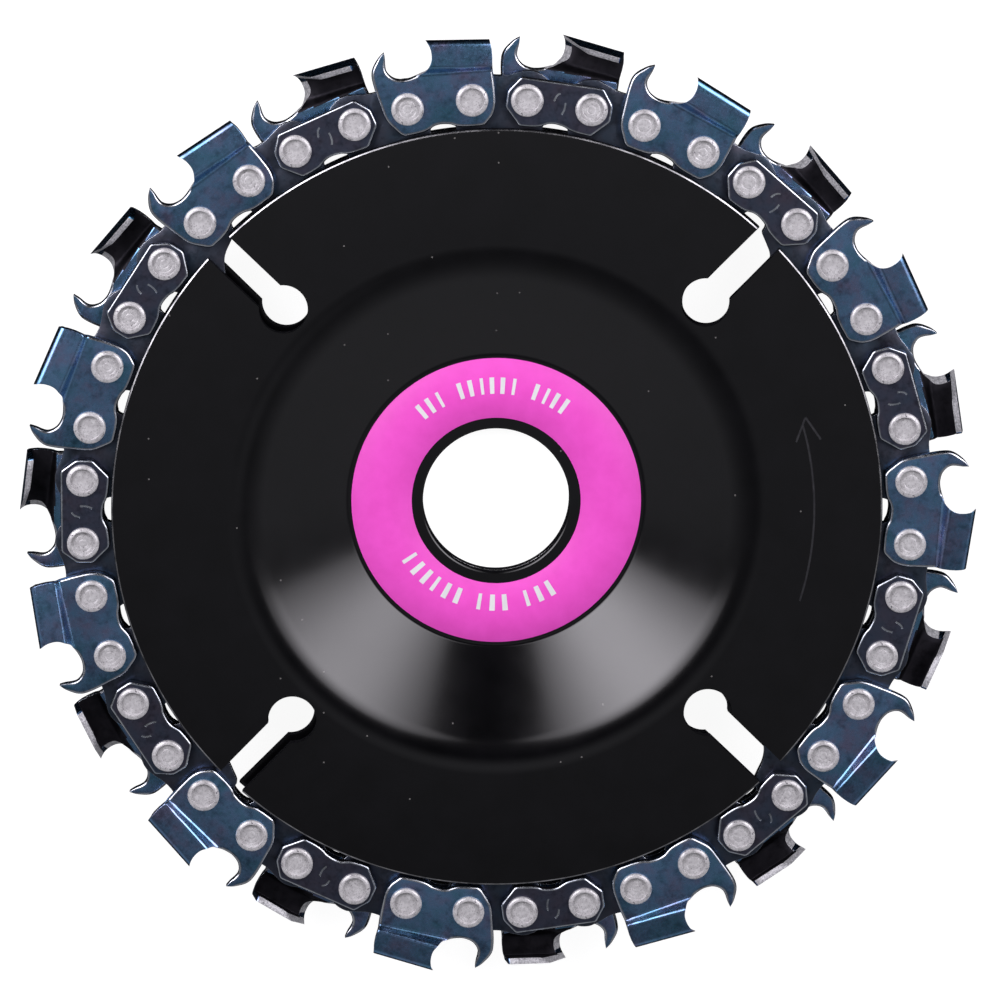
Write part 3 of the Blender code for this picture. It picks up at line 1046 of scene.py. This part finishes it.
def on_tooth(along, out):
    """Whether a point of the blank belongs to the tooth, past the crease."""
    return along < HOOK_START_ALONG and out > crease_start(along)


def cutter_edge_radius(along, out):
    """Rolled edges on the side plate; sharp ones round the tooth and at the hook's tip."""
    tip = max(0.0, 1 - math.dist((along, out), HOOK_TIP) / (1.6 * MM))
    radius = PRESSED_EDGE * (1 - 0.9 * smoothstep(tip))
    if along < HOOK_START_ALONG:
        sharp = smoothstep((out - 3.2 * MM) / (0.6 * MM))
        radius += (TOOTH_EDGE - radius) * sharp
    return radius


def cutter_mesh():
    """The left-hand cutter in the link's own axes: out is +y, along is -x."""
    bm = pressed_sheet(cutter_outline(), SIDE_THICKNESS, cutter_edge_radius)
    top_end = FOLD_END + TOP_PLATE_LENGTH
    lines = [(2.75 + 0.16 * i) * MM for i in range(12)]
    lines += [FOLD_OUT + FOLD_LENGTH * i / 8 for i in range(9)]
    lines += [5.2 * MM, 5.8 * MM] + [FOLD_END + TOP_PLATE_LENGTH * i / 4 for i in range(1, 4)]
    cut_across(bm, (0.0, 1.0, 0.0), lines)
    columns = [along * MM for along in (1.2, 0.4, -0.1, -0.6, -1.2, -2.0, -3.0, -4.2)]
    cut_across(bm, (1.0, 0.0, 0.0), columns)
    for face in bm.faces:
        middle = face.calc_center_median()
        if not on_tooth(middle.x, middle.y):
            continue
        near_front = leading_edge_distance(middle.x, middle.y) < GRIND_FACE
        if abs(face.normal.z) > 0.9:
            face.smooth = True
            # Faces that end up inside the tooth, under the top plate, get painted shade: a
            # near-black steel
            face.material_index = PAINTED_SHADE if face.normal.z < 0 else STEEL
        elif near_front or middle.y > top_end - 0.07 * MM:
            face.material_index = GROUND
    for vert in bm.verts:
        vert.co = bent(vert.co.x, vert.co.y, vert.co.z)
    bmesh.ops.triangulate(bm, faces=[f for f in bm.faces if len(f.verts) > 4])
    return new_mesh("left_cutter", bm)


def mirrored(mesh, name):
    """The right-hand copy, mirrored in the chain's middle plane."""
    other = mesh.copy()
    other.name = name
    other.transform(Matrix.Scale(-1.0, 4, (0.0, 0.0, 1.0)))
    other.flip_normals()
    return other


def strap_mesh(steel, edge_steel):
    """The near tie strap of a right-hand link, with the two halves of a worn oval stamp."""
    outline = [(-along, out) for along, out in strap_outline()]
    bm = pressed_sheet(outline, SIDE_THICKNESS, lambda along, out: PRESSED_EDGE * 0.85)
    bmesh.ops.translate(bm, verts=bm.verts, vec=(0.0, 0.0, SIDE_INNER_Z))
    blank = finish_mesh(new_mesh("tie_strap", bm), [steel, edge_steel], 50.0, keep_flat=True)
    strap = link_object("tie_strap_blank", blank)
    for first_deg in (15.0, 165.0):
        line = []
        for x, y in arc((0.0, 0.0), 1.0, first_deg, first_deg + 70.0, 8):
            line.append((-x * 0.62 * MM, y * 1.2 * MM))
        cut_with(strap, groove_cutter(line, SIDE_OUTER_Z, 0.2 * MM, 0.08 * MM))
    mesh = strap.data
    for face in mesh.polygons:
        at = face.center
        if abs(at.x) < 0.9 * MM and abs(at.y) < 1.4 * MM:
            if 0.01 * MM < SIDE_OUTER_Z - at.z < 0.1 * MM:
                face.material_index = EDGE
        face.use_smooth = abs(face.normal.z) < 0.98
    bpy.data.objects.remove(strap, do_unlink=True)
    return mesh


def drive_mesh():
    """A drive link in its own axes, with the holes that it turns on the rivets by."""
    outline = [(-along, out) for along, out in drive_outline()]
    holes = [
        arc((side * DRIVE_SPAN / 2, 0.0), RIVET_HOLE_RADIUS, 0.0, 345.0, 23)
        for side in (-1, 1)
    ]
    bm = flat_sheet(outline, DRIVE_THICKNESS, 0.16 * MM, holes)
    bmesh.ops.translate(bm, verts=bm.verts, vec=(0.0, 0.0, -DRIVE_THICKNESS / 2))
    for face in bm.faces:
        face.smooth = abs(face.normal.z) < 0.98
    return new_mesh("drive_link", bm)


def rivet_mesh(name, recess, rings):
    """A spun rivet: on each side a sloping rim round a recessed face, with turned ring marks."""
    base = SIDE_OUTER_Z + 0.005 * MM
    crest = SIDE_OUTER_Z + RIVET_HEAD_RISE
    r = RIVET_HEAD_RADIUS
    floor = crest - recess
    head = [(0.0, floor - 0.03 * MM), (0.14 * MM, floor - 0.01 * MM), (0.2 * MM, floor)]
    for ring in rings:
        head += [
            ((ring - 0.07) * MM, floor),
            (ring * MM, floor - 0.025 * MM),
            ((ring + 0.07) * MM, floor),
        ]
    head += [
        (1.25 * MM, floor),
        (1.27 * MM, floor + recess * 0.1),
        (1.29 * MM, crest - recess * 0.1),
        (1.32 * MM, crest),
        (1.4 * MM, crest - 0.014 * MM),
        (1.48 * MM, crest - 0.038 * MM),
        (1.56 * MM, crest - 0.07 * MM),
        (1.63 * MM, crest - 0.105 * MM),
        (r - 0.03 * MM, crest - 0.15 * MM),
        (r, crest - 0.2 * MM),
        (r, base),
        (RIVET_RADIUS, base),
    ]
    profile = head + [(radius, -z) for radius, z in reversed(head)]
    return turned(name, profile, 44, closed=False)


def chain(cutter_steel, strap_steel, drive_steel, edge_steel, ground_steel, scale, rivet_steel):
    """Every cutter, tie strap, rivet and drive link, each a piece of its own."""
    draw = random.Random(SEED)
    # scale carries the painted shade: near-black steel for the teeth's inner faces
    steels = [cutter_steel, edge_steel, ground_steel, scale]
    left = finish_mesh(cutter_mesh(), steels, 50.0, keep_flat=True)
    right = mirrored(left, "right_cutter")
    near_strap = strap_mesh(strap_steel, edge_steel)
    far_strap = mirrored(near_strap, "tie_strap_far")
    drive = finish_mesh(drive_mesh(), [drive_steel, edge_steel], 50.0, keep_flat=True)
    rivets = [
        finish_mesh(rivet_mesh(name, recess * MM, rings), [rivet_steel], 28.0)
        for name, recess, rings in (
            ("rivet_a", 0.43, ()),
            ("rivet_b", 0.39, (0.75,)),
            ("rivet_c", 0.46, (0.45, 0.9)),
        )
    ]
    for node in LINKS:
        number = node[-2:]
        body = f"link_{number}"
        hinge = JOINTS[f"{body}_rock"]["pos_m"]
        angle = math.atan2(hinge[1], hinge[0]) + CUTTER_HALF_ANGLE
        turn = Matrix.Rotation(angle - math.pi / 2, 4, "Z")
        middle = RIVET_CIRCLE * math.cos(CUTTER_HALF_ANGLE)
        centre = Vector((middle * math.cos(angle), middle * math.sin(angle), CHAIN_MID_Z))
        place = Matrix.Translation(centre) @ turn
        is_left = node.startswith("left")
        cutter = link_object(f"cutter_{number}", left if is_left else right)
        cutter.matrix_world = place
        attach(cutter, body)
        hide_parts(node)
        strap = link_object(f"tie_strap_{number}", far_strap if is_left else near_strap)
        strap.matrix_world = place
        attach(strap, body)
        for end, side in (("leading", -1), ("trailing", 1)):
            rivet = link_object(f"rivet_{number}_{end}", draw.choice(rivets))
            spin = Matrix.Rotation(draw.uniform(0.0, math.tau), 4, "Z")
            shift = Matrix.Translation((side * CUTTER_SPAN / 2, 0.0, 0.0))
            rivet.matrix_world = place @ shift @ spin
            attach(rivet, body)
        between = angle + STEP / 2
        reach = RIVET_CIRCLE * math.cos(DRIVE_HALF_ANGLE)
        spot = Vector((reach * math.cos(between), reach * math.sin(between), CHAIN_MID_Z))
        link = link_object(f"drive_{number}", drive)
        link.matrix_world = Matrix.Translation(spot) @ Matrix.Rotation(
            between - math.pi / 2, 4, "Z"
        )
        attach(link, "chain")
        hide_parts(f"drive_link_{number}")


# ---------------------------------------------------------------- studio


def studio():
    """White paper under the disc, two soft lamps and a dim room."""
    half = FLOOR_HALF_WIDTH
    bm = bmesh.new()
    corners = [(-half, -half), (half, -half), (half, half), (-half, half)]
    bm.faces.new([bm.verts.new((x, y, FLOOR_Z)) for x, y in corners])
    floor = link_object("studio_floor", new_mesh("studio_floor", bm))
    floor.data.materials.append(floor_material())
    floor.visible_glossy = False
    studio_walls()
    softbox("softbox_right", 34.0, 43.0, -8.0, 0.40, 0.40, 6.0)
    softbox("softbox_left", 140.0, 43.0, 8.0, 0.42, 0.40, 7.5)


def softbox(name, azimuth, elevation, roll, width, height, radiance):
    """A soft lamp aimed at the disc: brightest in its middle, fading to its edges."""
    a, e = math.radians(azimuth), math.radians(elevation)
    towards = Vector((math.cos(a) * math.cos(e), math.sin(a) * math.cos(e), math.sin(e)))
    lamp = bpy.data.lights.new(name, "AREA")
    lamp.shape = "RECTANGLE"
    lamp.size, lamp.size_y = width, height
    lamp.color = LAMP_COLOUR
    lamp.energy = radiance * math.pi * width * height
    lamp.use_nodes = True
    nodes, links = lamp.node_tree.nodes, lamp.node_tree.links
    away = nodes.new("ShaderNodeVectorMath")
    away.operation = "DISTANCE"
    away.inputs[1].default_value = (0.5, 0.5, 0.0)
    links.new(nodes.new("ShaderNodeNewGeometry").outputs["Parametric"], away.inputs[0])
    fade = nodes.new("ShaderNodeMapRange")
    fade.interpolation_type = "SMOOTHSTEP"
    links.new(away.outputs["Value"], fade.inputs["Value"])
    for socket, value in zip(fade.inputs[1:5], (0.05, 0.6, 1.0, 0.2)):
        socket.default_value = value
    links.new(fade.outputs["Result"], nodes["Emission"].inputs["Strength"])
    obj = link_object(name, lamp)
    obj.location = towards * LAMP_DISTANCE
    obj.rotation_mode = "QUATERNION"
    facing = towards.to_track_quat("Z", "Y")
    obj.rotation_quaternion = facing @ Quaternion((0.0, 0.0, 1.0), math.radians(roll))


def studio_walls():
    """A dim room: pale low down on the -y side, dark on the lamps' side, two panels overhead."""
    world = bpy.data.worlds.new("studio")
    bpy.context.scene.world = world
    world.use_nodes = True
    nodes, links = world.node_tree.nodes, world.node_tree.links
    direction = nodes.new("ShaderNodeTexCoord").outputs["Generated"]
    split = nodes.new("ShaderNodeSeparateXYZ")
    links.new(direction, split.inputs["Vector"])

    def ranged(source, low, high, at_low, at_high):
        node = nodes.new("ShaderNodeMapRange")
        node.interpolation_type = "SMOOTHSTEP"
        links.new(source, node.inputs["Value"])
        for socket, value in zip(node.inputs[1:5], (low, high, at_low, at_high)):
            socket.default_value = value
        return node.outputs["Result"]

    def combined(operation, a, b):
        node = nodes.new("ShaderNodeMath")
        node.operation = operation
        links.new(a, node.inputs[0])
        links.new(b, node.inputs[1])
        return node.outputs["Value"]

    def panel(towards, radius, radiance):
        away = nodes.new("ShaderNodeVectorMath")
        away.operation = "DISTANCE"
        away.inputs[1].default_value = towards
        links.new(direction, away.inputs[0])
        return ranged(away.outputs["Value"], 0.0, radius, radiance, 0.0)

    room = combined(
        "MULTIPLY",
        ranged(split.outputs["Z"], 0.35, 1.0, 0.34, 0.065),
        ranged(split.outputs["Y"], -0.15, 0.2, 1.0, 0.03),
    )
    room = combined("MULTIPLY", room, ranged(split.outputs["Z"], -0.2, 0.2, 0.05, 1.0))
    panels = combined(
        "ADD", panel((0.0, -0.04, 1.0), 0.3, 0.3), panel((0.25, -0.28, 0.93), 0.25, 0.17)
    )
    background = nodes["Background"]
    background.inputs["Color"].default_value = (0.94, 0.94, 1.0, 1.0)
    links.new(combined("ADD", room, panels), background.inputs["Strength"])


def camera():
    """Nearly straight above, leaning towards the disc's +y side; a long lens."""
    tilt, roll = math.radians(CAMERA_TILT_DEG), math.radians(CAMERA_ROLL_DEG)
    to_camera = Matrix.Rotation(roll, 3, "Y") @ Matrix.Rotation(tilt, 3, "X")
    from_camera = to_camera.transposed()
    lens = bpy.data.cameras.new("camera")
    lens.sensor_width = 36.0
    lens.lens = 187.57
    lens.clip_start = 0.01
    obj = link_object("camera", lens)
    obj.matrix_world = (
        Matrix.Translation(from_camera @ Vector(CAMERA_OFFSET) + Vector((0.0, 0.0, CAMERA_AIM_Z)))
        @ from_camera.to_4x4()
    )
    bpy.context.scene.camera = obj


def build():
    """The camera and studio, the two plates, the label and the chain."""
    camera()
    studio()
    coated = [
        black_plate_material(),
        cut_edge_material(),
        engraved_material(),
        steel_material("worn_plate_edge", [(0.1, 0.1, 0.105), (0.55, 0.55, 0.56)], 0.25, 0.1),
    ]
    plate(
        "rear_plate_shell",
        "rear_plate",
        REAR_LOW,
        REAR_HIGH,
        REAR_CONE,
        KEYHOLE_FIRST_DEG + REAR_PLATE_TWIST_DEG,
        coated,
    )
    plate(
        "front_plate_shell",
        "front_plate",
        FRONT_LOW,
        FRONT_HIGH,
        FRONT_CONE,
        KEYHOLE_FIRST_DEG,
        coated,
        arrow=True,
    )
    label(
        label_material("label_foil", (0.96, 0.1, 0.66), (0.9, 0.085, 0.6)),
        label_material("label_ink", (0.9, 0.9, 0.9), (0.8, 0.8, 0.82)),
    )
    teal, blue, violet = (0.13, 0.33, 0.49), (0.2, 0.36, 0.6), (0.27, 0.29, 0.48)
    chain(
        steel_material("cutter_steel", [teal, blue, violet], 0.24, 0.18),
        steel_material("strap_steel", [(0.09, 0.12, 0.18), (0.13, 0.118, 0.165)], 0.31, 0.2),
        steel_material("drive_steel", [(0.07, 0.1, 0.14), (0.1, 0.1, 0.13)], 0.34, 0.2),
        steel_material("worn_edge_steel", [(0.45, 0.5, 0.58), (0.75, 0.78, 0.82)], 0.2, 0.06),
        ground_material(),
        # Painted shade: near-black steel for the inside of the teeth, under the top plate, where
        # shade falls
        steel_material("painted_inner_shade", [(0.012, 0.012, 0.015), (0.035, 0.033, 0.04)], 0.5, 0.2),
        rivet_material(),
    )
    bpy.context.scene.view_settings.view_transform = "Standard"


build()
